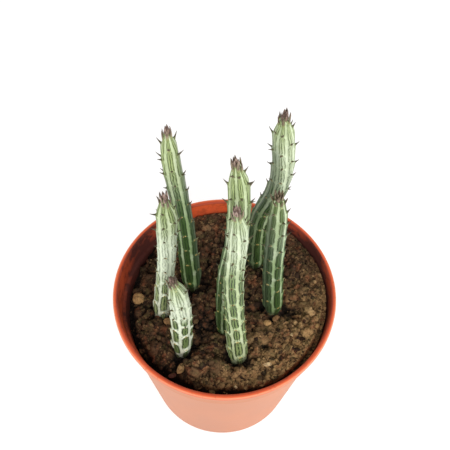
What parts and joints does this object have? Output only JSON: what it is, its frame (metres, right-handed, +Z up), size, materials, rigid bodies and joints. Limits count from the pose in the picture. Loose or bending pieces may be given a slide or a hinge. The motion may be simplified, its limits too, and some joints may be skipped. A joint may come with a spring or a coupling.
{
  "type": "potted stapelia",
  "caption": "Upright ribbed succulent stems with small awl-shaped leaves, standing in soil in a thin round nursery pot.",
  "frame": {"origin": "middle of the pot's foot, on the surface that it stands on", "axes": "+Z up along the stems, +X to the right and +Y away from the picture's camera"},
  "size_m": [0.085, 0.085, 0.1778],
  "materials": {
    "pot_plastic": "satin, terracotta-coloured",
    "soil_mix": "matt, crumbly",
    "stem_skin": "waxy, patterned in pale and dark green"
  },
  "bodies": {
    "root": {"pot": "pot_plastic", "soil": "soil_mix", "stem_left_back": "stem_skin", "stem_left_middle": "stem_skin", "stem_left_front": "stem_skin", "stem_centre_back": "stem_skin", "stem_centre_front": "stem_skin", "stem_right_back": "stem_skin", "stem_right_front": "stem_skin"}
  },
  "joints": []
}
